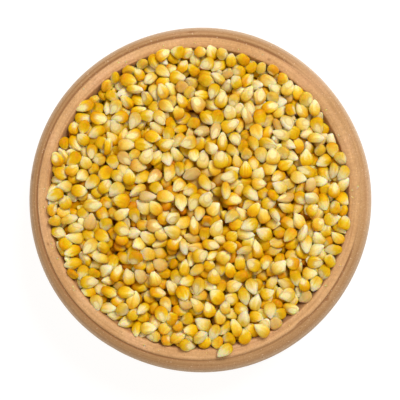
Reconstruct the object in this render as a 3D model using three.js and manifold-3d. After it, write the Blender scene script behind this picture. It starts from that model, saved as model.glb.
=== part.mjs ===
// A round terracotta bowl heaped with dry popcorn kernels.
//
// Units are millimetres, +Z is up, and the origin is the centre of the bowl's flat base.
// The bowl is one turned solid. The heap is one solid that fills it to a low dome, with the
// kernels of its top layer joined to it. The kernels that lie loose among them are separate
// solids, each in a shallow pocket of the heap with a small gap all round.
import * as THREE from "three";
import { mergeVertices } from "three/addons/utils/BufferGeometryUtils.js";
import Module from "manifold-3d";

const wasm = await Module();
wasm.setup();

// --- Bowl ---------------------------------------------------------------------------------
const RIM_RADIUS = 86; // the widest point of the shoulder
const MOUTH_RADIUS = 74.5; // where the inner wall meets the rim
const HEIGHT = 54; // top of the rim
const FOOT_RADIUS = 43;
const FLOOR = 9; // thickness of clay under the kernels
const LIP_DROP = 1.6; // the inner wall ends this far below the rim's top
const WALL_POWER = 3.2; // how late the inner wall turns up: height grows as radius to this power
const SHOULDER_HEIGHT = 46.5; // height of the widest point
const GROOVE_RADIUS = 80.4; // turned groove between the rim's flat band and its shoulder
const GROOVE_DEPTH = 0.7;
const BOWL_SEGMENTS = 60;

// --- Heap ---------------------------------------------------------------------------------
const WALL_GAP = 0.4; // between the heap and the bowl
const HEAP_RADIUS = 73.5; // where the heap's top meets the wall
const HEAP_EDGE = 50.6; // height of the heap at the wall
const HEAP_CROWN = 6.5; // how much higher its middle is
const HEAP_SEGMENTS = 30;
const HEAP_RINGS = 3; // rings of the dome between its edge and its middle

// --- Kernels ------------------------------------------------------------------------------
const KERNEL_LENGTH = 8.6; // tip to crown
const KERNEL_WIDTH = 6.9;
const KERNEL_THICKNESS = 4.8;
const SIZE_SPREAD = 0.09; // each size varies by up to this share
const SITES = 232; // places for kernels on the dome
const LOOSE_EVERY = 4; // every fourth place holds a loose kernel, the others a joined one
const SITE_RADIUS = 69.5; // the outermost kernel's centre
const LOOSE_DEPTH = 0.2; // how far a loose kernel's lowest point is sunk in the dome
const JOINED_DEPTH = 1.9; // the same for a kernel that is joined to the heap
const POCKET_GAP = 0.32; // between a loose kernel and the heap
const LOOSE_FACETS = [8, [0.04, 0.5, 0.85]]; // sides, and the stations of the rings
const JOINED_FACETS = [5, [0.15, 0.7]];
const GOLDEN_ANGLE = Math.PI * (3 - Math.sqrt(5));

const clay = new THREE.MeshStandardMaterial({ color: 0xcb9a68, roughness: 0.85, metalness: 0 });
const corn = new THREE.MeshStandardMaterial({ color: 0xebb93c, roughness: 0.4, metalness: 0 });

// A seeded random number from 0 to 1, the same in every run.
function makeRandom(seed) {
  let state = seed;
  return () => {
    state = (state + 0x6d2b79f5) | 0;
    let mixed = Math.imul(state ^ (state >>> 15), 1 | state);
    mixed = (mixed + Math.imul(mixed ^ (mixed >>> 7), 61 | mixed)) ^ mixed;
    return ((mixed ^ (mixed >>> 14)) >>> 0) / 2 ** 32;
  };
}

const random = makeRandom(7);
const between = (low, high) => low + (high - low) * random();

// Height of the bowl's inner wall at a distance from the axis.
function innerWall(radius) {
  return FLOOR + (HEIGHT - LIP_DROP - FLOOR) * (radius / MOUTH_RADIUS) ** WALL_POWER;
}

// Height of the heap's smooth dome at a distance from the axis.
function dome(radius) {
  return HEAP_EDGE + HEAP_CROWN * (1 - (radius / HEAP_RADIUS) ** 2);
}

// Turns a profile that starts and ends on the axis. LatheGeometry turns about Y, so the result is
// stood up along Z.
function turned(profile, segments) {
  const points = profile.map(([radius, height]) => new THREE.Vector2(radius, height));
  return new THREE.LatheGeometry(points, segments).rotateX(Math.PI / 2);
}

function bowlGeometry() {
  const foot = [
    [0, 0],
    [FOOT_RADIUS - 1, 0],
    [FOOT_RADIUS, 1],
  ];
  const outerWall = new THREE.CubicBezierCurve(
    new THREE.Vector2(FOOT_RADIUS + 0.6, 3),
    new THREE.Vector2(FOOT_RADIUS + 20, 10),
    new THREE.Vector2(RIM_RADIUS - 2.5, 26),
    new THREE.Vector2(RIM_RADIUS, SHOULDER_HEIGHT),
  );
  const shoulder = new THREE.QuadraticBezierCurve(
    new THREE.Vector2(RIM_RADIUS, SHOULDER_HEIGHT + 1),
    new THREE.Vector2(RIM_RADIUS - 0.4, HEIGHT - 2),
    new THREE.Vector2(GROOVE_RADIUS + 0.9, HEIGHT - GROOVE_DEPTH),
  );
  const band = [
    [GROOVE_RADIUS, HEIGHT - GROOVE_DEPTH],
    [GROOVE_RADIUS - 0.7, HEIGHT],
    [MOUTH_RADIUS + 1.6, HEIGHT],
    [MOUTH_RADIUS + 0.5, HEIGHT - 0.5],
  ];
  const innerRadii = [1, 0.94, 0.84, 0.7, 0.52, 0.3, 0];
  const profile = [
    ...foot,
    ...outerWall.getPoints(6).map((p) => [p.x, p.y]),
    ...shoulder.getPoints(3).map((p) => [p.x, p.y]),
    ...band,
    ...innerRadii.map((share) => [share * MOUTH_RADIUS, innerWall(share * MOUTH_RADIUS)]),
  ];
  return turned(profile, BOWL_SEGMENTS);
}

// Half-width of a kernel's outline, as a share of its greatest, from tip (0) to crown (1).
function outline(along, tip, widest) {
  if (along < widest) {
    return tip + (1 - tip) * Math.sin((Math.PI / 2) * (along / widest)) ** 1.1;
  }
  return Math.sqrt(Math.max(0, 1 - ((along - widest) / (1 - widest)) ** 2));
}

// A kernel along Y, tip at -Y, crown at +Y, with its flatter germ side facing +Z.
function kernelGeometry(length, width, thickness, sides, stations) {
  const vertices = [0, -length / 2, 0];
  for (const along of stations) {
    const halfWidth = (width / 2) * outline(along, 0.3, 0.6);
    const halfThickness = thickness * outline(along, 0.42, 0.55);
    for (let side = 0; side < sides; side++) {
      const angle = (2 * Math.PI * (side + 0.5)) / sides;
      const depth = Math.sin(angle) > 0 ? 0.44 : 0.56; // the back is rounder than the germ side
      vertices.push(
        halfWidth * Math.cos(angle),
        (along - 0.5) * length,
        depth * halfThickness * Math.sin(angle),
      );
    }
  }
  vertices.push(0, length / 2, 0);
  const crown = vertices.length / 3 - 1;
  const faces = [];
  const at = (ring, side) => 1 + ring * sides + (side % sides);
  for (let side = 0; side < sides; side++) {
    faces.push(0, at(0, side), at(0, side + 1));
    for (let ring = 0; ring < stations.length - 1; ring++) {
      faces.push(at(ring, side), at(ring + 1, side), at(ring, side + 1));
      faces.push(at(ring, side + 1), at(ring + 1, side), at(ring + 1, side + 1));
    }
    faces.push(crown, at(stations.length - 1, side + 1), at(stations.length - 1, side));
  }
  const geometry = new THREE.BufferGeometry();
  geometry.setAttribute("position", new THREE.Float32BufferAttribute(vertices, 3));
  geometry.setIndex(faces);
  return geometry;
}

// How a kernel lies: most lie on a flat side, some on an edge, and some lean, crown or tip up.
function restingTurn() {
  const kind = random();
  const yaw = between(0, 2 * Math.PI);
  let pitch = between(-0.4, 0.4); // lifts the crown or the tip
  let roll = between(-0.45, 0.45) + (random() < 0.5 ? Math.PI : 0); // germ side up or down
  if (kind > 0.86) pitch = (random() < 0.6 ? 1 : -1) * between(0.6, 0.9);
  else if (kind > 0.7) roll = (random() < 0.5 ? 1 : -1) * between(1.1, 1.7);
  return new THREE.Euler(pitch, roll, yaw, "ZXY");
}

// Site i of SITES, seen from above: evenly spread, as in a sunflower's head, with a little jitter.
function sitePosition(i) {
  const radius = SITE_RADIUS * Math.sqrt((i + 0.5) / SITES);
  const angle = i * GOLDEN_ANGLE + between(-0.3, 0.3) / Math.sqrt(i + 1);
  return new THREE.Vector2(radius * Math.cos(angle), radius * Math.sin(angle));
}

function solidOf(geometry) {
  const bare = geometry.clone();
  bare.deleteAttribute("normal");
  bare.deleteAttribute("uv");
  const merged = mergeVertices(bare, 1e-4);
  return new wasm.Manifold(
    new wasm.Mesh({
      numProp: 3,
      vertProperties: merged.attributes.position.array,
      triVerts: new Uint32Array(merged.index.array),
    }),
  );
}

function geometryOf(solid) {
  const mesh = solid.getMesh();
  const geometry = new THREE.BufferGeometry();
  geometry.setAttribute("position", new THREE.BufferAttribute(mesh.vertProperties, 3));
  geometry.setIndex(new THREE.BufferAttribute(mesh.triVerts, 1));
  return geometry;
}

// The kernel at site i, lying so that its lowest point is a little below the dome. Its pocket is
// the same kernel grown by the gap on every side.
function placedKernel(i) {
  const loose = i % LOOSE_EVERY === 0;
  const [length, width, thickness] = [KERNEL_LENGTH, KERNEL_WIDTH, KERNEL_THICKNESS].map(
    (size) => size * (1 + between(-SIZE_SPREAD, SIZE_SPREAD)),
  );
  const site = sitePosition(i);
  const turn = new THREE.Matrix4().makeRotationFromEuler(restingTurn());
  const [sides, stations] = loose ? LOOSE_FACETS : JOINED_FACETS;
  const shape = kernelGeometry(length, width, thickness, sides, stations);
  const grown = [length, width, thickness].map((size) => size + 2 * POCKET_GAP);
  const pocket = kernelGeometry(...grown, sides, stations);
  const lying = shape.clone().applyMatrix4(turn);
  lying.computeBoundingBox();
  const depth = loose ? LOOSE_DEPTH : JOINED_DEPTH;
  const height = dome(site.length()) - depth - lying.boundingBox.min.z;
  const place = new THREE.Matrix4().makeTranslation(site.x, site.y, height).multiply(turn);
  return { loose, place, shape, pocket };
}

// The heap without its top kernels: the dome above, and below it the shape of the bowl's inside.
function heapCore() {
  const floorShares = [0, 0.3, 0.5, 0.68, 0.82, 0.92];
  const under = floorShares.map((share) => {
    const radius = share * HEAP_RADIUS;
    return [radius * (1 - WALL_GAP / HEAP_RADIUS), innerWall(radius) + WALL_GAP];
  });
  const over = Array.from({ length: HEAP_RINGS + 1 }, (_, ring) => {
    const radius = HEAP_RADIUS * (1 - ring / HEAP_RINGS);
    return [Math.max(0, radius - WALL_GAP), dome(radius)];
  });
  return solidOf(turned([...under, ...over], HEAP_SEGMENTS));
}

const group = new THREE.Group();

const bowl = new THREE.Mesh(bowlGeometry(), clay);
bowl.name = "bowl";
group.add(bowl);

const kernels = Array.from({ length: SITES }, (_, i) => placedKernel(i));

let heap = heapCore();
for (const kernel of kernels.filter((k) => !k.loose)) {
  heap = heap.add(solidOf(kernel.shape.applyMatrix4(kernel.place)));
}
for (const kernel of kernels.filter((k) => k.loose)) {
  heap = heap.subtract(solidOf(kernel.pocket.applyMatrix4(kernel.place)));
}
const heapMesh = new THREE.Mesh(geometryOf(heap), corn);
heapMesh.name = "kernel_heap";
group.add(heapMesh);

kernels
  .filter((kernel) => kernel.loose)
  .forEach((kernel, i) => {
    const mesh = new THREE.Mesh(kernel.shape, corn);
    mesh.name = `kernel_${String(i + 1).padStart(2, "0")}`;
    mesh.applyMatrix4(kernel.place);
    group.add(mesh);
  });

export default group;
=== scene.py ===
"""The looks of a terracotta bowl full of dry popcorn kernels.

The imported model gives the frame: the bowl, the heap and the loose kernels on it. Here the bowl is
turned again as a fine mesh with its tool marks, and the heap becomes a few thousand separate
kernels, settled into the bowl around the loose ones, which stay where the CAD has them.

Lengths are in millimetres until a mesh is made; Blender's objects are in metres.
"""

import math
from collections import namedtuple

import bpy
import numpy as np
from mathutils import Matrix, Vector


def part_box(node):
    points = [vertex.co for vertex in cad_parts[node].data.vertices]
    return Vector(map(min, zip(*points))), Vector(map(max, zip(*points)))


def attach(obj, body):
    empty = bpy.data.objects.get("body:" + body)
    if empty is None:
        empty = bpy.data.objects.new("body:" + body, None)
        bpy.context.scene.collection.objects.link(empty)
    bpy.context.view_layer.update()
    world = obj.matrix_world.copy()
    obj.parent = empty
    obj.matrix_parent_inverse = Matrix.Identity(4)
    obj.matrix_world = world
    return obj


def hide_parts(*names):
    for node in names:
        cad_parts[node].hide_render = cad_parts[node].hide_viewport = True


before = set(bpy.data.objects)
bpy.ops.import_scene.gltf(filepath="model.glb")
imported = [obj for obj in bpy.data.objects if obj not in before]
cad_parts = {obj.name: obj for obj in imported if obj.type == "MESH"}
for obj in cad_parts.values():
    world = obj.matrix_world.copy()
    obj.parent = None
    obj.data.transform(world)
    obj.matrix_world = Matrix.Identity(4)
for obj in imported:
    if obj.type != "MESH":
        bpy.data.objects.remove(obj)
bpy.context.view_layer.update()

MM = 0.001  # one millimetre in metres
TINY = 1e-9  # as good as zero
SEED = 5

# --- The bowl, as the CAD has it -------------------------------------------------------------
bowl_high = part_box("bowl")[1]
RIM_RADIUS = bowl_high.x / MM
HEIGHT = bowl_high.z / MM
MOUTH_RADIUS = 74.5
FOOT_RADIUS = 43.0
FLOOR = 9.0
LIP_DROP = 1.6
LIP_WIDTH = 1.6
WALL_RISE = HEIGHT - LIP_DROP - FLOOR  # of the inside, from the floor to the lip
WALL_POWER = 3.2
SHOULDER_HEIGHT = 46.5
GROOVE_RADIUS = 80.4
GROOVE_DEPTH = 0.7

# The bowl is made by hand, so its mouth and the band round it lie a little off its axis.
MOUTH_OFFSET = 0.95
MOUTH_OFFSET_TOWARDS = math.radians(130)
OFFSET_GROWS = (MOUTH_RADIUS - 16, MOUTH_RADIUS - 2)  # the radii between which it grows
OFFSET_FADES = (GROOVE_RADIUS + 0.8, RIM_RADIUS - 0.4)

# --- The heap --------------------------------------------------------------------------------
HEAP_RADIUS = 73.5
HEAP_EDGE = 50.6  # height of the CAD heap's dome at the wall
HEAP_CROWN = 6.5  # how much higher its middle is
KERNEL_SIZE = np.array([6.2, 8.6, 4.6])  # width, length from tip to crown, thickness
SIZE_SPREAD = 0.12  # how far each of a kernel's sizes may be off, as a share
SETTLED_KERNELS = 3720
FILL_OVER_DOME = 3.5  # the kernels start out spread evenly up to this far over the dome
RIM_FILL = 3.0  # and this much farther beside the wall
RIM_FILL_GROWS = (MOUTH_RADIUS - 12, MOUTH_RADIUS - 3)
LOOSE_NODES = sorted(set(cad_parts) - {"bowl", "kernel_heap"})

# Kernels in the gaps are painted more amber, less pale and with a fainter germ: painted shade, for
# the light that reaches them only through those above them.
GAP_DEPTH = (-0.5, 4.5)  # depths under the dome of a kernel's middle, from open to in a gap
GAP_SHADE_LESS_PALE = 0.55  # how much less pale kernels in the gaps are
GAP_SHADE_AMBER_REACH = 0.27  # how far their crown's colour reaches towards the tip
GAP_SHADE_GERM_FADE = 0.6  # how much fainter their germ is

# --- Settling the kernels --------------------------------------------------------------------
# Each kernel is a rigid clump of balls. Every step moves the kernels down a little and pushes
# apart the balls that overlap. One row per ball: its place across, along and through the kernel
# and its radius, in half-widths, half-lengths, half-thicknesses and half-thicknesses.
CLUMP = np.array([
    [-0.33, 0.20, 0.0, 0.95],
    [0.33, 0.20, 0.0, 0.95],
    [0.0, 0.50, 0.0, 0.93],
    [0.0, -0.18, 0.0, 0.93],
    [0.0, -0.69, 0.0, 0.56],
])
GYRATION = 4.7  # a kernel's squared radius of gyration, mm2
SETTLE_STEPS = 300
FALL = 0.03  # the first step's fall, mm; it fades to nothing
SPREAD = 0.004  # outward pull per mm from the axis, as a share of the fall; it fills the rim
LEVELLING = 1.2  # how much faster a kernel falls for each mm that it stands above the dome
FIRST_SCALE = 0.7  # the kernels start small, without much overlap, and grow
GROWTH_SHARE = 0.35  # of the steps
QUIET_SHARE = 0.1  # the last steps, with no fall
LIE_FLAT = 0.02  # how strongly each step turns a kernel onto its nearer flat side, radians
RELAXATION = 1.5  # over 1, overlaps go away in fewer steps
LARGEST_TURN = 0.25  # radians in a step
PAIR_MARGIN = 0.9  # pairs of balls this near are watched until the next search
SEARCH_EVERY = 8  # steps


def smooth_step(low, high, value):
    """0 at low and before it, 1 at high and past it, with a smooth rise between them."""
    t = np.clip((value - low) / (high - low), 0, 1)
    return t * t * (3 - 2 * t)


def ridge(offset, width):
    """A smooth ridge of height 1 at no offset."""
    return np.exp(-((offset / width) ** 2))


def from_axis(points):
    return np.hypot(points[:, 0], points[:, 1])


def turn_of(points):
    """Each point's angle round the axis."""
    return np.arctan2(points[:, 1], points[:, 0])


def mouth_shift(radius, angle):
    """How far the mouth and the band round it lie from true circles, at a nominal radius."""
    near_mouth = smooth_step(*OFFSET_GROWS, radius) * (1 - smooth_step(*OFFSET_FADES, radius))
    return MOUTH_OFFSET * near_mouth * np.cos(angle - MOUTH_OFFSET_TOWARDS)


def wall_height(radius):
    """Height of the bowl's inside, lip and rim at a distance from the axis."""
    inside = FLOOR + WALL_RISE * np.minimum(radius / MOUTH_RADIUS, 1) ** WALL_POWER
    return inside + LIP_DROP * np.clip((radius - MOUTH_RADIUS) / LIP_WIDTH, 0, 1)


def wall_slope(radius):
    """How steeply wall_height rises."""
    steepest = WALL_RISE * WALL_POWER / MOUTH_RADIUS
    inside = steepest * (radius / MOUTH_RADIUS) ** (WALL_POWER - 1)
    lip = np.where(radius < MOUTH_RADIUS + LIP_WIDTH, LIP_DROP / LIP_WIDTH, 0.0)
    return np.where(radius < MOUTH_RADIUS, inside, lip)


def dome_height(radius):
    return HEAP_EDGE + HEAP_CROWN * (1 - (radius / HEAP_RADIUS) ** 2)


def depth_under_dome(points):
    return dome_height(from_axis(points)) - points[:, 2]


def matrices_of(turns):
    """Rotation matrices of unit quaternions, given as rows of w, x, y, z."""
    w, x, y, z = turns.T
    rows = [
        1 - 2 * (y * y + z * z), 2 * (x * y - w * z), 2 * (x * z + w * y),
        2 * (x * y + w * z), 1 - 2 * (x * x + z * z), 2 * (y * z - w * x),
        2 * (x * z - w * y), 2 * (y * z + w * x), 1 - 2 * (x * x + y * y),
    ]
    return np.stack(rows, axis=1).reshape(-1, 3, 3)


def quaternion_of(matrix):
    diagonal = np.diag(matrix)
    w = math.sqrt(max(0.0, 1 + diagonal.sum())) / 2
    x, y, z = np.sqrt(np.maximum(0, 1 + 2 * diagonal - diagonal.sum())) / 2
    x = math.copysign(x, matrix[2, 1] - matrix[1, 2])
    y = math.copysign(y, matrix[0, 2] - matrix[2, 0])
    z = math.copysign(z, matrix[1, 0] - matrix[0, 1])
    return [w, x, y, z]


def turned_by(turns, angles):
    """The quaternions turned further by small rotation vectors."""
    x1, y1, z1 = angles.T / 2
    w2, x2, y2, z2 = turns.T
    result = np.stack([
        w2 - x1 * x2 - y1 * y2 - z1 * z2,
        x2 + x1 * w2 + y1 * z2 - z1 * y2,
        y2 - x1 * z2 + y1 * w2 + z1 * x2,
        z2 + x1 * y2 - y1 * x2 + z1 * w2,
    ], axis=1)
    return result / np.linalg.norm(result, axis=1, keepdims=True)


def near_pairs(points, owners, reach):
    """Pairs of balls nearer than reach that belong to different kernels, found on a grid."""
    cells = np.floor(points / reach).astype(np.int64)
    cells -= cells.min(axis=0) - 1
    _, columns, layers = cells.max(axis=0) + 2
    keys = (cells[:, 0] * columns + cells[:, 1]) * layers + cells[:, 2]
    order = np.argsort(keys, kind="stable")
    ordered = keys[order]
    found = []
    steps = [(x * columns + y) * layers + z
             for x in (-1, 0, 1) for y in (-1, 0, 1) for z in (-1, 0, 1)]
    for step in [s for s in steps if s >= 0]:
        first = np.searchsorted(ordered, keys + step, "left")
        count = np.searchsorted(ordered, keys + step, "right") - first
        one = np.repeat(np.arange(len(points)), count)
        shift = np.repeat(first - np.concatenate([[0], np.cumsum(count)[:-1]]), count)
        other = order[shift + np.arange(count.sum())]
        keep = owners[one] != owners[other]
        if step == 0:
            keep &= one < other
        one, other = one[keep], other[keep]
        gap = points[one] - points[other]
        close = (gap * gap).sum(axis=1) < reach * reach
        found.append(np.stack([one[close], other[close]]))
    return np.concatenate(found, axis=1)


def overlapping(points, radii, pairs):
    """Of the watched pairs, those that overlap: both balls, how far, and the way apart."""
    one, other = pairs
    apart = points[one] - points[other]
    distance = np.maximum(np.linalg.norm(apart, axis=1), TINY)
    overlap = radii[one] + radii[other] - distance
    hit = overlap > 0
    return one[hit], other[hit], overlap[hit], apart[hit] / distance[hit, None]


def in_clay(points, radii):
    """The balls that are in the bowl's wall, how deep, and the way out."""
    out = np.maximum(from_axis(points), TINY)
    nominal = out - mouth_shift(out, turn_of(points))
    slope = wall_slope(nominal)
    steepness = np.sqrt(1 + slope**2)
    room = (points[:, 2] - wall_height(nominal)) / steepness - radii
    low = np.nonzero(room < 0)[0]
    inward = -slope[low] / out[low]
    normals = np.stack(
        [inward * points[low, 0], inward * points[low, 1], np.ones(len(low))], axis=1)
    return low, -room[low], normals / steepness[low, None]


def flattening(turns):
    """The small turn that lays each kernel more on its flat side, as its weight would."""
    through = matrices_of(turns)[:, :, 2]
    upward = np.sign(through[:, 2:]) * np.array([0.0, 0.0, 1.0])
    return LIE_FLAT * np.cross(through, upward)


def settle(centres, turns, sizes, pinned):
    """Lets the kernels that are not pinned settle in the bowl; returns their centres and turns."""
    total = len(centres)
    free = np.where(pinned, 0.0, 1.0)
    half = sizes / 2
    places = CLUMP[None, :, :3] * half[:, None, :]
    ball_sizes = CLUMP[None, :, 3] * half[:, 2, None]
    owners = np.repeat(np.arange(total), len(CLUMP))
    for step in range(SETTLE_STEPS):
        grown = min(1.0, FIRST_SCALE + (1 - FIRST_SCALE) * step / (SETTLE_STEPS * GROWTH_SHARE))
        scale = np.where(pinned, 1.0, grown)
        levers = np.einsum("nij,nkj->nki", matrices_of(turns), places * scale[:, None, None])
        points = (centres[:, None, :] + levers).reshape(-1, 3)
        levers = levers.reshape(-1, 3)
        radii = (ball_sizes * scale[:, None]).ravel()
        if step % SEARCH_EVERY == 0:
            pairs = near_pairs(points, owners, 2 * radii.max() + PAIR_MARGIN)
        one, other, overlap, pair_normals = overlapping(points, radii, pairs)
        low, sunk, wall_normals = in_clay(points, radii)

        # One push for each side of each contact, shared out by how easily each side gives
        balls = np.concatenate([one, other, low])
        normals = np.concatenate([pair_normals, -pair_normals, wall_normals])
        kernels = owners[balls]
        arms = np.cross(levers[balls], normals)
        give = free[kernels] * (1 + (arms * arms).sum(axis=1) / GYRATION) + TINY
        n = len(one)
        push = overlap / (give[:n] + give[n:2 * n])
        push = np.concatenate([push, push, sunk / give[2 * n:]]) * free[kernels]
        contacts = np.maximum(np.bincount(kernels, minlength=total), 1)
        share = (RELAXATION / contacts)[:, None]

        def summed(vectors):
            sums = [np.bincount(kernels, push * v, minlength=total) for v in vectors.T]
            return np.stack(sums, axis=1) * share

        fading = 1 - step / SETTLE_STEPS
        fall = FALL * fading * (fading > QUIET_SHARE)
        proud = np.maximum(-depth_under_dome(centres), 0)
        downward = np.column_stack([SPREAD * centres[:, :2], -1 - LEVELLING * proud])
        downward = downward * fall * free[:, None]
        centres = centres + summed(normals) + downward
        angles = summed(arms) / GYRATION + flattening(turns) * fading * free[:, None]
        size = np.maximum(np.linalg.norm(angles, axis=1, keepdims=True), TINY)
        turns = turned_by(turns, angles * np.minimum(1, LARGEST_TURN / size))
    return centres, turns


CAD_SIDES = 8  # corners in each ring of a loose kernel
CAD_WIDTH_SHARE = 0.90  # what a faceted kernel's corners reach of its width
CAD_THICKNESS_SHARE = 0.918  # and of its thickness


def cad_pose(node):
    """Centre, rotation matrix and size of a loose kernel, read off the CAD node's corners.

    Its tip and crown are the two corners farthest apart. The tip has the ring of corners that
    is nearer to it, and the germ side is the flatter one of the two faces.
    """
    corners = np.array([v.co for v in node.data.vertices]) / MM
    corners = np.unique(corners.round(3), axis=0)
    gaps = np.linalg.norm(corners[:, None] - corners[None], axis=2)
    ends = np.unravel_index(gaps.argmax(), gaps.shape)
    ring = slice(1, 1 + CAD_SIDES)
    tip, crown = sorted(ends, key=lambda end: np.sort(gaps[end])[ring].mean())
    length = gaps[tip, crown]
    along = (corners[crown] - corners[tip]) / length
    middle = (corners[crown] + corners[tip]) / 2
    around = np.delete(corners, [tip, crown], axis=0) - middle
    around -= np.outer(around @ along, along)
    across = np.linalg.eigh(around.T @ around)[1][:, 2]
    through = np.cross(across, along)
    heights = around @ through
    if heights.max() > -heights.min():
        across, through = -across, -through
    width = np.ptp(around @ across) / CAD_WIDTH_SHARE
    thickness = np.ptp(heights) / CAD_THICKNESS_SHARE
    matrix = np.stack([across, along, through], axis=1)
    return middle, matrix, np.array([width, length, thickness])


def scattered(rng, count):
    """Random places in the bowl, spread evenly through what the heap will fill."""
    low = [-MOUTH_RADIUS, -MOUTH_RADIUS, FLOOR]
    high = [MOUTH_RADIUS, MOUTH_RADIUS, HEAP_EDGE + HEAP_CROWN + FILL_OVER_DOME + RIM_FILL]
    places = rng.uniform(low, high, (4 * count, 3))  # well over count of them lie in the heap
    out = from_axis(places)
    nominal = out - mouth_shift(out, turn_of(places))
    above = places[:, 2] > wall_height(nominal) + KERNEL_SIZE[2] / 2
    fill = FILL_OVER_DOME + RIM_FILL * smooth_step(*RIM_FILL_GROWS, out)
    below = places[:, 2] < dome_height(out) + fill
    return places[above & below][:count]


# A row per kernel in each. Its tones say how pale it is, its own shade, and how far it lies in a
# gap, all from 0 to 1; the last sets how much painted shade it gets.
Heap = namedtuple("Heap", "centres matrices sizes tones")


def settled_heap():
    """All kernels: the CAD's loose ones, where it has them, and then the settled ones."""
    rng = np.random.default_rng(SEED)
    poses = [cad_pose(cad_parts[name]) for name in LOOSE_NODES]
    spread = 1 + rng.uniform(-SIZE_SPREAD, SIZE_SPREAD, (SETTLED_KERNELS, 3))
    sizes = np.concatenate([[size for _, _, size in poses], KERNEL_SIZE * spread])
    places = scattered(rng, SETTLED_KERNELS)
    centres = np.concatenate([[centre for centre, _, _ in poses], places])
    random_turns = rng.normal(size=(SETTLED_KERNELS, 4))
    random_turns /= np.linalg.norm(random_turns, axis=1, keepdims=True)
    turns = np.concatenate([[quaternion_of(matrix) for _, matrix, _ in poses], random_turns])
    pinned = np.arange(len(centres)) < len(poses)
    centres, turns = settle(centres, turns, sizes, pinned)
    # Painted shade: the deeper a kernel lies in a gap, the less pale it is made.
    below = smooth_step(*GAP_DEPTH, depth_under_dome(centres))
    tones = np.column_stack([rng.uniform(0, 1, (len(centres), 2)), below])
    tones[:, 0] *= 1 - GAP_SHADE_LESS_PALE * below
    return Heap(centres, matrices_of(turns), sizes, tones)


# --- The shape of a kernel -------------------------------------------------------------------
FINE_GRID = (26, 20)  # sides, rings
COARSE_GRID = (12, 8)
ATLAS_MARGIN = 0.06  # of a kernel's square in the texture

# Each kernel draws its own value from each of these ranges. Places and reaches along a kernel
# are shares of its length, from the tip (0) to the crown (1). Widths, depths, leans and bends are
# shares of its half-width or half-thickness. A power of 2 makes an ellipse, and a higher one is
# squarer.
WIDEST_AT = (0.52, 0.66)
TIP_WIDTH = (0.1, 0.24)
TAPER_POWER = (0.9, 1.3)
CROWN_POWER = (1.9, 2.6)
THICKEST_AT = (0.46, 0.58)
TIP_THICKNESS = (0.22, 0.36)
CROWN_EDGE_POWER = (1.9, 2.4)
SECTION_POWER = (2.0, 3.1)
GERM_SIDE_DEPTH = (0.80, 0.92)
GERM_WIDTH = (0.56, 0.76)
GERM_MIDDLE = (0.34, 0.44)
GERM_REACH = (0.32, 0.44)
GERM_DENT = (0.1, 0.42)  # mm
GERM_RIDGE = (0.0, 0.2)  # mm
TIP_LEAN = (-0.2, 0.2)
BEND = (-0.16, 0.16)
ANY_TURN = (0, 2 * np.pi)
FACET_TILT = (-0.5, 0.5)  # radians
FACET_AT = (0.7, 0.9)  # between the kernel's middle (0) and its side (1)

# These are the same for every kernel.
THICKNESS_TAPER_POWER = 0.9
BACK_DEPTH = 1.06  # of the face without the germ
GERM_EDGE = (0.62, 1.06)  # where the germ fades out, as a share of its oval
GERM_RIDGE_WIDTH = 0.16
BULGES = [(2, 0, 0.045), (3, 5, 0.035)]  # waves round a kernel, twist along it, size
FACETS = 3
FACET_PRESS = 0.85  # how much of what stands beyond a facet is pressed in
TIP_ROUND = 0.07  # share of the length over which the blunt tip is rounded
STREAKS = 0.07  # how unevenly the crown's colour runs down the sides


def rounded(along, widest, start, rise, crown):
    """Half-width from tip (0) to crown (1), as a share of its greatest."""
    growing = start + (1 - start) * np.sin(np.pi / 2 * np.minimum(along / widest, 1)) ** rise
    past = np.clip((along - widest) / (1 - widest), 0, 1)
    closing = (1 - past**crown) ** (1 / crown)
    tip_round = np.sqrt(1 - (1 - np.minimum(along / TIP_ROUND, 1)) ** 2)
    return growing * closing * tip_round


def stations(rings):
    """Where the rings are between tip (0) and crown (1), closer together at the ends."""
    return (1 - np.cos(np.pi * np.arange(1, rings + 1) / (rings + 1))) / 2


def pressed_flat(unit, vary):
    """The kernels, each in a box of -1 to 1, pressed flat in places by its neighbours."""
    for _ in range(FACETS):
        turn, tilt = vary(*ANY_TURN), vary(*FACET_TILT)
        normal = np.stack([np.cos(turn) * np.cos(tilt), np.sin(tilt), np.sin(turn) * np.cos(tilt)],
                          axis=2)
        beyond = np.maximum((unit * normal).sum(axis=2) - vary(*FACET_AT), 0)
        unit = unit - FACET_PRESS * beyond[:, :, None] * normal
    return unit


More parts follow.
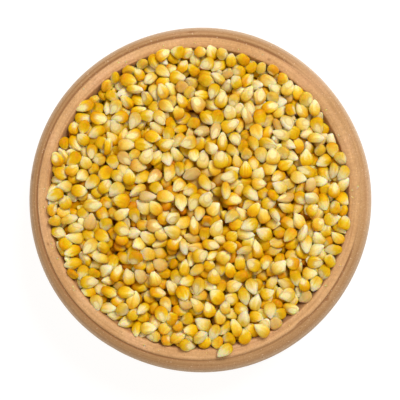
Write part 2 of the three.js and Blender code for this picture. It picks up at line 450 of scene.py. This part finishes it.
def kernel_surfaces(sizes, grid, rng):
    """Points of each kernel's surface in its own axes, how far along it each is, and its germ.

    The result has a row per kernel and a column per vertex: the tip, the rings and the crown.
    How far along a point is varies a little from side to side, for the streaks in its colour.
    """
    sides, rings = grid
    along = np.concatenate([[0], np.repeat(stations(rings), sides), [1]])[None, :]
    angle = np.concatenate([[0], np.tile(2 * np.pi * np.arange(sides) / sides, rings), [0]])
    angle = angle[None, :]

    def vary(low, high):
        return rng.uniform(low, high, (len(sizes), 1))

    half = sizes[:, :, None] / 2
    crown = vary(*CROWN_POWER)
    wide = half[:, 0] * rounded(
        along, vary(*WIDEST_AT), vary(*TIP_WIDTH), vary(*TAPER_POWER), crown)
    thick = half[:, 2] * rounded(
        along, vary(*THICKEST_AT), vary(*TIP_THICKNESS), THICKNESS_TAPER_POWER,
        vary(*CROWN_EDGE_POWER))
    square = 2 / vary(*SECTION_POWER)
    cosine, sine = np.cos(angle), np.sin(angle)
    germ_side = sine > TINY
    depth = np.where(germ_side, vary(*GERM_SIDE_DEPTH), BACK_DEPTH)
    x = wide * np.sign(cosine) * np.abs(cosine) ** square
    z = thick * np.sign(sine) * np.abs(sine) ** square * depth

    # The germ is a shallow oval dent in the flatter face, with a low ridge along its middle.
    across = x / (half[:, 0] * vary(*GERM_WIDTH))
    lengthways = (along - vary(*GERM_MIDDLE)) / vary(*GERM_REACH)
    germ = np.where(germ_side, 1 - smooth_step(*GERM_EDGE, np.hypot(across, lengthways)), 0)
    ridges = ridge(x, GERM_RIDGE_WIDTH * half[:, 0])
    z = z - germ * (vary(*GERM_DENT) - vary(*GERM_RIDGE) * ridges)

    # Each kernel leans, bends and bulges in its own way, as its place on the cob made it.
    x = x + half[:, 0] * vary(*TIP_LEAN) * (1 - along) ** 2
    z = z + half[:, 2] * vary(*BEND) * (2 * along - 1) ** 2
    middle = np.sin(np.pi * along)
    bulge = 1
    for waves, twist, size in BULGES:
        bulge = bulge + size * middle * np.sin(waves * angle + twist * along + vary(*ANY_TURN))
    y = half[:, 1] * np.broadcast_to(2 * along - 1, germ.shape)
    unit = np.stack([x * bulge, y, z * bulge], axis=2) / (sizes[:, None] / 2)
    points = pressed_flat(unit, vary) * sizes[:, None] / 2

    streaks = np.pad(np.tile(rng.normal(size=(len(sizes), sides)), (1, rings)), ((0, 0), (1, 1)))
    return points, along + STREAKS * middle * streaks, germ


# --- Meshes ----------------------------------------------------------------------------------
def closed_grid(levels, sides, start, first, end, mirrored=False):
    """The faces of rings of vertices from first on, closed by the vertices start and end.

    levels are the rings' places up the texture. The result has the corners of all faces, the
    texture place of each corner, and each face's number of corners. A mirrored grid has its
    corners the other way round.
    """
    corners, places, face_sides = [], [], []

    def add_face(*face):
        ordered = [face[0], *reversed(face[1:])] if mirrored else face
        corners.extend(corner for corner, _ in ordered)
        places.extend(place for _, place in ordered)
        face_sides.append(len(face))

    last = first + (len(levels) - 1) * sides
    for side in range(sides):
        after = (side + 1) % sides
        near, far = side / sides, (side + 1) / sides
        middle = (near + far) / 2
        add_face((start, (middle, 0)), (first + after, (far, levels[0])),
                 (first + side, (near, levels[0])))
        for ring, (bottom, top) in enumerate(zip(levels, levels[1:])):
            low = first + ring * sides
            high = low + sides
            add_face((low + side, (near, bottom)), (low + after, (far, bottom)),
                     (high + after, (far, top)), (high + side, (near, top)))
        add_face((last + side, (near, levels[-1])), (last + after, (far, levels[-1])),
                 (end, (middle, 1)))
    return np.array(corners), np.array(places), np.array(face_sides)


def mesh_object(name, points, corners, places, face_sides):
    """A smooth mesh object from arrays of points in mm, corner numbers and texture places."""
    mesh = bpy.data.meshes.new(name)
    mesh.vertices.add(len(points))
    mesh.vertices.foreach_set("co", (points * MM).astype(np.float32).ravel())
    mesh.loops.add(len(corners))
    mesh.loops.foreach_set("vertex_index", corners.astype(np.int32))
    mesh.polygons.add(len(face_sides))
    starts = np.concatenate([[0], np.cumsum(face_sides)[:-1]])
    mesh.polygons.foreach_set("loop_start", starts.astype(np.int32))
    layer = mesh.uv_layers.new(name="OFBake")
    layer.data.foreach_set("uv", places.astype(np.float32).ravel())
    mesh.update(calc_edges=True)
    mesh.shade_smooth()
    piece = bpy.data.objects.new(name, mesh)
    bpy.context.scene.collection.objects.link(piece)
    return piece


def add_numbers(piece, name, values):
    """A colour attribute that holds four plain numbers for each vertex."""
    layer = piece.data.attributes.new(name, "FLOAT_COLOR", "POINT")
    layer.data.foreach_set("color", values.astype(np.float32).ravel())


def kernel_piece(name, heap, chosen, grid):
    """One object made of the chosen kernels of the heap, each a closed surface of its own."""
    rng = np.random.default_rng([SEED, int(chosen[0])])
    count = len(chosen)
    local, along, germ = kernel_surfaces(heap.sizes[chosen], grid, rng)
    points = np.einsum("nij,nvj->nvi", heap.matrices[chosen], local)
    points = points + heap.centres[chosen][:, None, :]
    sides, rings = grid
    vertices = local.shape[1]
    corners, places, face_sides = closed_grid(
        stations(rings), sides, start=0, first=1, end=vertices - 1, mirrored=True)
    first = np.arange(count)[:, None] * vertices
    cells = math.ceil(math.sqrt(count))  # squares along each side of the texture
    cell = np.stack([np.arange(count) % cells, np.arange(count) // cells], axis=1)
    inside = ATLAS_MARGIN + (1 - 2 * ATLAS_MARGIN) * places
    atlas = (cell[:, None, :] + inside[None]) / cells
    piece = mesh_object(name, points.reshape(-1, 3), (corners[None] + first).ravel(),
                        atlas.reshape(-1, 2), np.tile(face_sides, count))
    tone, shade, below = [np.broadcast_to(column[:, None], germ.shape)
                          for column in heap.tones[chosen].T]
    # Painted shade in the gaps: the crown's amber reaches nearer the tip, and the germ fades.
    along = along + GAP_SHADE_AMBER_REACH * below
    germ = germ * (1 - GAP_SHADE_GERM_FADE * below)
    add_numbers(piece, "kernel", np.stack([along, germ, tone, shade], axis=2).reshape(-1, 4))
    piece.data.materials.append(corn_material())
    return piece


# --- The bowl's surface ----------------------------------------------------------------------
# A place on the surface is its distance along the profile, which starts under the foot's middle
# and runs up the outside, over the rim and down the inside, and its angle round the axis.
BOWL_SIDES = 400
OUTER_POINTS, SHOULDER_POINTS, INNER_POINTS = 60, 30, 120  # on the curves of the outline
SAMPLE = 0.1  # spacing of the profile before it is smoothed
EDGE_SOFTNESS = 0.28  # how far the turned edges are rounded
FIRST_RING = 3.0
# Spacing of the rings up to each distance along the profile
RING_SPACING = [(42.0, 3.0), (47.0, 0.4), (104.0, 0.85), (131.0, 0.33), (145.0, 1.2), (240.0, 5.0)]
WALL_START, SHOULDER_START, BAND_START, LIP_START = 46.0, 109.5, 119.4, 124.0
PROFILE_LENGTH = 220.0  # a round number over the whole length

# The outline is not quite a circle: waves round it, their size and where one of them peaks
OUTLINE_WAVES = [(2, 0.35, 90.0), (5, 0.2, 0.0)]
FOOT_UNEVEN_HEIGHT = 60.0  # away from the rim, the waves fade over this height above the foot

# Finger rings on the outer wall: where they come and go, and their size
FINGERS_GROW = (WALL_START + 4, WALL_START + 14)
FINGERS_FADE = (SHOULDER_START - 8, SHOULDER_START)
FINGER_PITCH = 5.5
FINGER_HEIGHT, FINGER_VARIATION = 0.05, 0.04
FINGER_WAVES = (4.3, 11.0)  # lengths over which their height varies, per radian

# A line that the tool cuts while the bowl turns is not the same all the way round: its usual
# depth, how much that varies, its least and most depth, the waves in it, and how far it wanders
LineWay = namedtuple("LineWay", "usual variation least most waves wander")
WANDER_WAVES = 3
TURNED_WAY = LineWay(usual=0.6, variation=1.0, least=0.0, most=1.4, waves=4, wander=0.25)
TURNED_LINES = 46
TURNED_FROM = SHOULDER_START - 40
TURNED_WIDTH, TURNED_DEPTH = (0.2, 0.6), (0.015, 0.06)
RIM_WAY = LineWay(usual=0.8, variation=0.5, least=0.2, most=1.5, waves=5, wander=0.12)
# The lines on the shoulder and in the groove: distance along the profile, width and depth
RIM_LINES = [(112.9, 0.35, 0.08), (114.8, 0.3, 0.08), (116.6, 0.35, 0.1), (118.9, 0.45, 0.34)]

# The stretch of the rim that hands have worn smooth and darkened
WORN_AT, WORN_HALF, WORN_EDGE = math.radians(20), math.radians(24), 0.35
WORN_GROOVE_FILL = 0.5  # how much of the groove is worn away there
WORN_GROOVE_WIDTH = 1.1
WORN_CLEANS = 0.6  # how much of the shoulder's dullness is gone there
WORN_DARKENS = 0.25  # how dull it is there all over

# The dull clay of the shoulder, darkened partly with painted shade, and the darker inside, which is
# painted shade: where they come and go
DULL_CLAY_AND_SHADE_GROWS = (SHOULDER_START + 1, SHOULDER_START + 5)
DULL_CLAY_AND_SHADE_FADES = (BAND_START - 0.3, BAND_START + 0.7)
INSIDE_SHADE_GROWS = (LIP_START, LIP_START + 3)

# Small nicks: distance along the profile, degrees round the bowl, length, width and depth
NICKS = [
    (120.3, -50.0, 3.4, 0.4, 0.45), (118.2, -38.0, 1.0, 0.6, 0.4), (121.4, 131.0, 0.5, 0.4, 0.3),
    (114.0, 172.0, 1.2, 0.7, 0.35), (122.5, 64.0, 0.6, 0.5, 0.25), (116.3, 93.0, 1.6, 0.5, 0.3),
    (111.0, -120.0, 1.5, 0.8, 0.4), (121.6, -164.0, 0.5, 0.5, 0.3), (104.0, 20.0, 1.4, 1.0, 0.4),
]
DARK_MARK = 0.2  # a mark this deep has the full colour of a mark


def bezier(points, count):
    """Points on a Bezier curve of any order."""
    t = np.linspace(0, 1, count)[:, None]
    layer = [np.array(p, float) * np.ones((count, 1)) for p in points]
    while len(layer) > 1:
        layer = [a * (1 - t) + b * t for a, b in zip(layer, layer[1:])]
    return layer[0]


def bowl_profile():
    """Distance along the profile, radius and height of each ring. The outline is the CAD's."""
    foot = [(0, 0), (FOOT_RADIUS - 1, 0), (FOOT_RADIUS, 1)]
    outer_wall = bezier([(FOOT_RADIUS + 0.6, 3), (FOOT_RADIUS + 20, 10), (RIM_RADIUS - 2.5, 26),
                         (RIM_RADIUS, SHOULDER_HEIGHT)], OUTER_POINTS)
    shoulder = bezier([(RIM_RADIUS, SHOULDER_HEIGHT + 1), (RIM_RADIUS - 0.4, HEIGHT - 2),
                       (GROOVE_RADIUS + 0.9, HEIGHT - GROOVE_DEPTH)], SHOULDER_POINTS)
    band = [(GROOVE_RADIUS, HEIGHT - GROOVE_DEPTH), (GROOVE_RADIUS - 0.7, HEIGHT),
            (MOUTH_RADIUS + LIP_WIDTH, HEIGHT), (MOUTH_RADIUS + 0.5, HEIGHT - 0.5)]
    inner_radii = np.linspace(MOUTH_RADIUS, 0, INNER_POINTS)
    inner_wall = np.column_stack([inner_radii, wall_height(inner_radii)])
    outline = np.concatenate([foot, outer_wall, shoulder, band, inner_wall])

    steps = np.hypot(*np.diff(outline, axis=0).T)
    travel = np.concatenate([[0], np.cumsum(steps)])
    even = np.arange(0, travel[-1], SAMPLE)
    reach = int(4 * EDGE_SOFTNESS / SAMPLE)
    weights = np.exp(-0.5 * (np.arange(-reach, reach + 1) * SAMPLE / EDGE_SOFTNESS) ** 2)
    weights /= weights.sum()
    radius, height = [
        np.convolve(np.pad(np.interp(even, travel, values), reach, mode="edge"), weights, "valid")
        for values in outline.T
    ]
    rings = [FIRST_RING]
    while rings[-1] < even[-1]:
        rings.append(rings[-1] + next(gap for end, gap in RING_SPACING if rings[-1] < end))
    rings = np.array(rings[:-1])
    return rings, np.interp(rings, even, radius), np.interp(rings, even, height)


def periodic_noise(rng, angle, waves):
    """Smooth noise round the bowl, about -1 to 1, from a few waves."""
    total = np.zeros_like(angle)
    for wave in range(1, waves + 1):
        total += rng.normal() * np.sin(wave * angle + rng.uniform(0, 2 * np.pi)) / wave
    return total / 2


def turn_from(place, angle):
    """The turn from a place round the bowl, between half a turn back and half a turn on."""
    return (angle - place + np.pi) % (2 * np.pi) - np.pi


def worn_share(angle):
    """How worn the rim is, round the bowl."""
    away = np.abs(turn_from(WORN_AT, angle))
    return 1 - smooth_step(WORN_HALF, WORN_HALF + WORN_EDGE, away)


def finger_rings(travel, angle):
    """Wide, low rings on the outer wall, which climb a little as they go round."""
    on_wall = smooth_step(*FINGERS_GROW, travel) * (1 - smooth_step(*FINGERS_FADE, travel))
    climb = FINGER_PITCH * angle / (2 * np.pi)
    short, long = FINGER_WAVES
    uneven = np.sin(travel / short + 2 * np.sin(angle)) * np.cos(travel / long)
    pressed = FINGER_HEIGHT + FINGER_VARIATION * uneven
    return pressed * on_wall * np.sin(2 * np.pi * (travel + climb) / FINGER_PITCH)


def line_round(travel, angle, rng, place, width, way):
    """How deep a line round the bowl is at each place, for a depth of 1."""
    depth = way.usual + way.variation * periodic_noise(rng, angle, way.waves)
    drift = way.wander * periodic_noise(rng, angle, WANDER_WAVES)
    return np.clip(depth, way.least, way.most) * ridge(travel - place - drift, width)


def tool_marks(travel, angle, rng):
    """How far the surface stands out at each place: finger rings, turned lines and nicks."""
    height = finger_rings(travel, angle)
    for _ in range(TURNED_LINES):
        place = rng.uniform(TURNED_FROM, LIP_START)
        width, depth = rng.uniform(*TURNED_WIDTH), rng.uniform(*TURNED_DEPTH)
        height -= depth * line_round(travel, angle, rng, place, width, TURNED_WAY)
    worn = worn_share(angle)
    fill = WORN_GROOVE_FILL * GROOVE_DEPTH * worn
    height += fill * ridge(travel - BAND_START, WORN_GROOVE_WIDTH)
    for place, width, depth in RIM_LINES:
        height -= depth * (1 - worn) * line_round(travel, angle, rng, place, width, RIM_WAY)
    for place, turn, length, width, depth in NICKS:
        around = turn_from(math.radians(turn), angle) * GROOVE_RADIUS
        height -= depth * ridge(around, length) * ridge(travel - place, width)
    return height


def bowl_points(travel, radius, height, angle, marks):
    """The surface's points, one row per ring, with the marks and the uneven outline."""
    lean_out, lean_up = np.gradient(radius, travel), np.gradient(height, travel)
    steepness = np.hypot(lean_out, lean_up)
    out = radius[:, None] + marks * (lean_up / steepness)[:, None]
    up = height[:, None] - marks * (lean_out / steepness)[:, None]
    wobble = sum(size * np.cos(waves * (angle - math.radians(peak)))
                 for waves, size, peak in OUTLINE_WAVES)
    uneven = np.maximum(smooth_step(MOUTH_RADIUS + LIP_WIDTH, RIM_RADIUS, out),
                        smooth_step(FOOT_UNEVEN_HEIGHT, 0, up))
    out = out + mouth_shift(out, angle) + wobble * uneven
    return np.stack([out * np.cos(angle), out * np.sin(angle), up], axis=2)


def clay_numbers(travel, angle, marks):
    """What the clay's material reads: place along the profile, dull share with its painted shade,
    marks, and inside with its painted shade.
    """
    worn = worn_share(angle)
    on_shoulder = (1 - smooth_step(*DULL_CLAY_AND_SHADE_FADES, travel)) * (1 - WORN_CLEANS * worn)
    # Dull clay on the shoulder: partly its own darker clay and wear, partly painted shade on the
    # outward-facing shoulder.
    dull_clay_and_shade = smooth_step(*DULL_CLAY_AND_SHADE_GROWS, travel) * (on_shoulder + WORN_DARKENS * worn)
    # Painted shade: the inside, beside and under the kernels, is darker.
    inside = smooth_step(*INSIDE_SHADE_GROWS, travel)
    mark = np.clip(-marks / DARK_MARK, 0, 1)
    return np.stack([travel / PROFILE_LENGTH, dull_clay_and_shade, mark, inside], axis=2)


def make_bowl():
    rng = np.random.default_rng([SEED, 1])
    travel, radius, height = bowl_profile()
    turns = 2 * np.pi * np.arange(BOWL_SIDES) / BOWL_SIDES
    travel_grid, angle = np.meshgrid(travel, turns, indexing="ij")
    marks = tool_marks(travel_grid, angle, rng)
    points = bowl_points(travel, radius, height, angle, marks).reshape(-1, 3)
    numbers = clay_numbers(travel_grid, angle, marks).reshape(-1, 4)
    under, inside = len(points), len(points) + 1
    points = np.concatenate([points, [[0, 0, 0], [0, 0, FLOOR]]])
    faces = closed_grid(travel / travel[-1], BOWL_SIDES, start=under, first=0, end=inside)
    piece = mesh_object("terracotta_bowl", points, *faces)
    add_numbers(piece, "clay", np.concatenate([numbers, np.zeros((2, 4))]))
    piece.data.materials.append(terracotta_material())
    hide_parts("bowl")
    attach(piece, "root")


# --- Materials -------------------------------------------------------------------------------
def colour(code):
    """A hex colour as Blender's linear red, green, blue and alpha."""
    shares = [int(code[i:i + 2], 16) / 255 for i in (0, 2, 4)]
    linear = [s / 12.92 if s <= 0.04045 else ((s + 0.055) / 1.055) ** 2.4 for s in shares]
    return (*linear, 1.0)


class Material:
    """A node material and short ways to add its nodes."""

    def __init__(self, name):
        self.made = bpy.data.materials.new(name)
        self.made.use_nodes = True
        self.tree = self.made.node_tree
        self.shader = self.tree.nodes["Principled BSDF"]

    def node(self, kind, inputs, **settings):
        made = self.tree.nodes.new(kind)
        for key, value in settings.items():
            setattr(made, key, value)
        for key, value in inputs.items():
            self.put(made.inputs[key], value)
        return made

    def put(self, socket, value):
        if isinstance(value, bpy.types.NodeSocket):
            self.tree.links.new(value, socket)
        else:
            socket.default_value = value

    def shade(self, **inputs):
        for key, value in inputs.items():
            self.put(self.shader.inputs[key.replace("_", " ")], value)

    def calc(self, operation, *values):
        return self.node("ShaderNodeMath", dict(enumerate(values)), operation=operation).outputs[0]

    def around_zero(self, value, size):
        """A value of 0 to 1 as a number from minus half the size to plus half of it."""
        return self.calc("MULTIPLY", self.calc("SUBTRACT", value, 0.5), size)

    def mix(self, share, first, second, blend="MIX"):
        inputs = {0: share, 6: first, 7: second}
        made = self.node("ShaderNodeMix", inputs, data_type="RGBA", blend_type=blend)
        return made.outputs[2]

    def ramp(self, value, stops):
        made = self.node("ShaderNodeValToRGB", {0: value})
        elements = made.color_ramp.elements
        while len(elements) < len(stops):
            elements.new(0.5)
        for element, (place, code) in zip(elements, stops):
            element.position = place
            element.color = colour(code)
        return made.outputs[0]

    def between(self, value, low, high, to_low=0.0, to_high=1.0):
        """value from low to high, as a number from to_low to to_high, held at both ends."""
        inputs = {"Value": value, "From Min": low, "From Max": high,
                  "To Min": to_low, "To Max": to_high}
        return self.node("ShaderNodeMapRange", inputs, interpolation_type="SMOOTHSTEP").outputs[0]

    def noise(self, place, scale, detail, roughness=0.55):
        inputs = {"Vector": place, "Scale": scale, "Detail": detail, "Roughness": roughness}
        return self.node("ShaderNodeTexNoise", inputs).outputs[0]

    def numbers(self, name):
        """The four numbers that a mesh keeps in one of its colour attributes."""
        source = self.node("ShaderNodeAttribute", {}, attribute_name=name)
        parts = self.node("ShaderNodeSeparateColor", {0: source.outputs["Color"]})
        return *parts.outputs[:3], source.outputs["Alpha"]

    def place(self, scale=1):
        """The surface's own coordinates, in metres times the scale."""
        source = self.node("ShaderNodeTexCoord", {}).outputs["Object"]
        inputs = {"Vector": source, "Scale": (scale, scale, scale)}
        return self.node("ShaderNodeMapping", inputs).outputs[0]

    def bump(self, height, strength, distance, onto=None):
        inputs = {"Height": height, "Strength": strength, "Distance": distance * MM}
        if onto is not None:
            inputs["Normal"] = onto
        return self.node("ShaderNodeBump", inputs).outputs[0]


def corn_material():
    """Waxy, slightly translucent skin: cream at the tip and germ, amber at the crown."""
    if "corn_skin" in bpy.data.materials:
        return bpy.data.materials["corn_skin"]
    m = Material("corn_skin")
    along, germ, tone, shade = m.numbers("kernel")
    place = m.place()
    mottle = m.noise(place, 420, 3)
    fine = m.noise(place, 2200, 2)
    own = m.around_zero(shade, 0.4)
    shifted = m.calc("ADD", m.calc("ADD", along, m.around_zero(mottle, 0.45)), own)

    # By its tone a kernel is golden, pale or beige, and its crown may turn a deep amber; in the
    # gaps that deep amber is also painted shade.
    golden = m.ramp(shifted, [(0.0, "fcf1c4"), (0.32, "f8e49a"), (0.54, "eec82c"),
                              (0.78, "e6b606"), (1.0, "da9f02")])
    pale = m.ramp(shifted, [(0.0, "fcf3d0"), (0.36, "f8e7a4"), (0.68, "eece5a"), (1.0, "e2ae20")])
    beige = m.ramp(shifted, [(0.0, "f4e4ba"), (0.35, "e8ca84"), (1.0, "d6a84c")])
    skin = m.mix(m.between(tone, 0.46, 0.76), golden, pale)
    skin = m.mix(m.between(tone, 0.92, 0.95), skin, beige)
    # Deep amber: the crown's own colour, and painted shade on the kernels in the gaps.
    amber_crown_and_gap_shade = m.between(shifted, 0.95, 1.4, 0.0, 0.8)
    skin = m.mix(amber_crown_and_gap_shade, skin, colour("c87410"))

    # The germ is cream with a darker line round it, and some tips have a brown spot.
    germ_share = m.calc("MULTIPLY", germ, m.between(mottle, 0.3, 0.6, 0.65, 0.95))
    skin = m.mix(germ_share, skin, colour("f9eaae"))
    germ_line = m.calc("MULTIPLY", m.calc("MULTIPLY", germ, m.calc("SUBTRACT", 1.0, germ)), 1.5)
    skin = m.mix(germ_line, skin, colour("cc9c24"))
    tip_spot = m.calc("MULTIPLY", m.between(along, 0.02, 0.06, 1.0, 0.0),
                      m.between(shade, 0.88, 0.91))
    skin = m.mix(tip_spot, skin, colour("a07a48"))

    # Some kernels are darker than others, and all have a fine grain.
    level = m.calc("MULTIPLY", m.between(shade, 0.0, 1.0, 0.88, 1.04),
                   m.between(fine, 0.3, 0.7, 0.93, 1.04))
    grey = m.node("ShaderNodeCombineColor", {channel: level for channel in range(3)})
    skin = m.mix(1.0, skin, grey.outputs[0], "MULTIPLY")
    m.shade(Base_Color=skin, Roughness=m.between(mottle, 0.3, 0.7, 0.34, 0.5))
    m.shade(Subsurface_Weight=0.6, Subsurface_Scale=2.2 * MM, Subsurface_Radius=(1.0, 0.5, 0.06))
    m.shade(Specular_IOR_Level=0.1, Coat_Weight=0.03, Coat_Roughness=0.3)
    m.shade(Normal=m.bump(fine, 0.35, 0.06, m.bump(mottle, 0.45, 0.25)))
    return m.made


# The pale band round the bowl's widest ring, painted light from the floor round its edge: where it
# comes and goes, as shares of PROFILE_LENGTH
PAINTED_RIM_LIGHT_GROWS = (0.480, 0.498)
PAINTED_RIM_LIGHT_FADES = (0.504, 0.531)
STREAKS_SIDEWAYS = 14  # the scale of the clay's streaks, per metre
STREAKS_ALONG = 190.0  # and over PROFILE_LENGTH


def terracotta_material():
    """Unglazed clay: matt and speckled, streaked along the turning lines."""
    m = Material("terracotta")
    profile, dull_clay_and_shade_share, marks, inside = m.numbers("clay")
    place = m.place()
    sideways = m.node("ShaderNodeSeparateXYZ", {0: m.place(STREAKS_SIDEWAYS)}).outputs
    rings = m.node("ShaderNodeCombineXYZ", {0: sideways[0], 1: sideways[1],
                                            2: m.calc("MULTIPLY", profile, STREAKS_ALONG)})
    streak = m.noise(rings.outputs[0], 1.0, 4, 0.6)
    broad = m.noise(place, 38, 3)
    grain = m.noise(place, 900, 4, 0.65)
    specks = m.noise(place, 1500, 1)
    mottled = m.ramp(broad, [(0.34, "c08c5b"), (0.5, "dcac79"), (0.66, "ecb491")])
    streaked = m.ramp(streak, [(0.25, "b07b4a"), (0.5, "dcad78"), (0.8, "ecc398")])
    body = m.mix(0.55, mottled, streaked)

    # The shoulder is dull and partly darkened with painted shade, the widest ring below it is a
    # pale band of painted light, and the marks are dark.
    dull_clay_and_shade = m.calc("MULTIPLY", dull_clay_and_shade_share, m.between(streak, 0.3, 0.7, 1.0, 0.6))
    body = m.mix(dull_clay_and_shade, body, colour("ac845a"))
    edge = m.calc("MULTIPLY", m.between(profile, *PAINTED_RIM_LIGHT_GROWS),
                  m.between(profile, *PAINTED_RIM_LIGHT_FADES, 0.8, 0.0))
    body = m.mix(edge, body, colour("e2cdb6"))
    body = m.mix(m.calc("MULTIPLY", marks, 0.75), body, colour("8a5a34"))

    # Dark grain, dark specks and pale ones; the inside is darker with painted shade.
    body = m.mix(m.between(grain, 0.38, 0.62, 0.26, 0.0), body, colour("9c6a42"))
    body = m.mix(m.between(specks, 0.69, 0.74, 0.0, 0.6), body, colour("7a5233"))
    body = m.mix(m.between(specks, 0.27, 0.31, 0.6, 0.0), body, colour("f4dcc0"))
    body = m.mix(m.calc("MULTIPLY", inside, 0.5), body, colour("7e5430"))
    m.shade(Base_Color=body, Roughness=m.between(grain, 0.3, 0.7, 0.78, 0.95))
    m.shade(Specular_IOR_Level=0.25)
    m.shade(Normal=m.bump(grain, 0.5, 0.12, m.bump(streak, 0.6, 0.22)))
    return m.made


def floor_material():
    """Plain white: it glows a little, so that the soft light leaves no grey on it."""
    m = Material("floor")
    m.shade(Base_Color=colour("808080"), Roughness=0.7, Specular_IOR_Level=0.1)
    m.shade(Emission_Color=(1.0, 1.0, 1.0, 1.0), Emission_Strength=0.88)
    return m.made


# --- The pieces ------------------------------------------------------------------------------
FINE_DEPTH = 9.0  # kernels whose middle is less than this below the dome are modelled finely
SECTORS = [(0.0, 1), (16.0, 5), (34.0, 9), (52.0, 12), (66.0, 14)]  # inner radius, how many
DEEP_LAYERS = [0.0, 22.0, 34.0, 80.0]  # heights
DEEP_SECTORS = 6
CRUMBS = 26
CRUMB_SIZE = np.array([0.8, 1.3, 0.5])
CRUMB_SCALES = (0.5, 1.3)
CRUMB_REACH = 3.2  # how far from the mouth they lie
CRUMB_TONES = ([0.6, 0.0, 0.0], [0.9, 0.3, 0.01])  # the least and the most of each tone


def sector_of(centres):
    """A number for each kernel that says which piece of the top it belongs to."""
    out = from_axis(centres)
    turn = turn_of(centres) / (2 * np.pi) % 1
    sector = np.zeros(len(centres), int)
    first = 0
    for inner, count in SECTORS:
        here = out >= inner
        sector[here] = first + (turn[here] * count).astype(int)
        first += count
    return sector


def deep_group_of(centres):
    """The same for the kernels farther down."""
    layer = np.searchsorted(DEEP_LAYERS, centres[:, 2]) - 1
    turn = turn_of(centres) / (2 * np.pi) % 1
    return layer * DEEP_SECTORS + (turn * DEEP_SECTORS).astype(int)


def make_kernels():
    heap = settled_heap()
    for number, node in enumerate(LOOSE_NODES):
        piece = kernel_piece(f"loose_{node}", heap, np.array([number]), FINE_GRID)
        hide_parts(node)
        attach(piece, "root")
    deep = depth_under_dome(heap.centres) >= FINE_DEPTH
    settled = np.arange(len(deep)) >= len(LOOSE_NODES)
    for label, chosen, groups, grid in (
        ("top_kernels", settled & ~deep, sector_of(heap.centres), FINE_GRID),
        ("deep_kernels", settled & deep, deep_group_of(heap.centres), COARSE_GRID),
    ):
        for number, group in enumerate(np.unique(groups[chosen]), start=1):
            members = np.nonzero(chosen & (groups == group))[0]
            piece = kernel_piece(f"{label}_{number:02d}", heap, members, grid)
            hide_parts("kernel_heap")
            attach(piece, "root")


def make_crumbs():
    """Bits of corn that lie on the rim beside the mouth."""
    rng = np.random.default_rng([SEED, 2])
    sizes = CRUMB_SIZE * rng.uniform(*CRUMB_SCALES, (CRUMBS, 3))
    angle = rng.uniform(0, 2 * np.pi, CRUMBS)
    out = MOUTH_RADIUS + LIP_WIDTH + CRUMB_REACH * rng.uniform(0.1, 1.0, CRUMBS) ** 2
    out = out + mouth_shift(out, angle)
    centres = np.column_stack([out * np.cos(angle), out * np.sin(angle), HEIGHT + sizes[:, 2] / 2])
    turn = rng.uniform(0, np.pi, CRUMBS)
    turns = np.column_stack([np.cos(turn), np.zeros((CRUMBS, 2)), np.sin(turn)])
    tones = rng.uniform(*CRUMB_TONES, (CRUMBS, 3))
    crumbs = Heap(centres, matrices_of(turns), sizes, tones)
    piece = kernel_piece("crumbs", crumbs, np.arange(CRUMBS), COARSE_GRID)
    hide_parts("kernel_heap")
    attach(piece, "root")


# --- The studio ------------------------------------------------------------------------------
VIEW_WIDTH = 200.6  # what the camera sees across, at the height of the bowl's widest ring
CAMERA_HEIGHT = 750.0  # over that ring
SENSOR = 36.0
CLIP_START = 0.05  # metres
FLOOR_REACH = 2.0  # metres from its middle to each side
FLOOR_GAP = 0.2  # between the floor and the bowl's foot
AMBIENT_TINT, AMBIENT_STRENGTH = (1.0, 0.95, 0.84, 1.0), 0.34


def area_light(name, place, size, power, tint):
    """A round lamp that points at the middle of the floor."""
    light = bpy.data.lights.new(name, "AREA")
    light.shape = "DISK"
    light.size = size * MM
    light.energy = power
    light.color = tint
    lamp = bpy.data.objects.new(name, light)
    lamp.location = Vector(place) * MM
    lamp.rotation_euler = (-Vector(place)).to_track_quat("-Z", "Y").to_euler()
    bpy.context.scene.collection.objects.link(lamp)


def make_sky():
    scene = bpy.context.scene
    scene.view_settings.view_transform = "Standard"
    world = bpy.data.worlds.new("studio")
    world.use_nodes = True
    background = world.node_tree.nodes["Background"]
    background.inputs["Color"].default_value = AMBIENT_TINT
    background.inputs["Strength"].default_value = AMBIENT_STRENGTH
    scene.world = world


def make_floor():
    mesh = bpy.data.meshes.new("floor")
    low, high = -FLOOR_REACH, FLOOR_REACH
    mesh.from_pydata([(low, low, 0), (high, low, 0), (high, high, 0), (low, high, 0)], [],
                     [(0, 1, 2, 3)])
    mesh.materials.append(floor_material())
    floor = bpy.data.objects.new("floor", mesh)
    floor.location.z = -FLOOR_GAP * MM
    bpy.context.scene.collection.objects.link(floor)


def make_lamps():
    area_light("key", place=(500, 770, 1450), size=730, power=22.8, tint=(1.0, 0.98, 0.95))
    area_light("fill", place=(-1000, -600, 1400), size=1400, power=6.4, tint=(1.0, 0.98, 0.94))


def make_camera():
    """Straight above the bowl, as in the photograph."""
    camera = bpy.data.cameras.new("camera")
    camera.sensor_width = SENSOR
    camera.lens = SENSOR * CAMERA_HEIGHT / VIEW_WIDTH
    camera.clip_start = CLIP_START
    holder = bpy.data.objects.new("camera", camera)
    holder.location = (0, 0, (SHOULDER_HEIGHT + CAMERA_HEIGHT) * MM)
    bpy.context.scene.collection.objects.link(holder)
    bpy.context.scene.camera = holder


make_sky()
make_floor()
make_lamps()
make_camera()
make_bowl()
make_kernels()
make_crumbs()
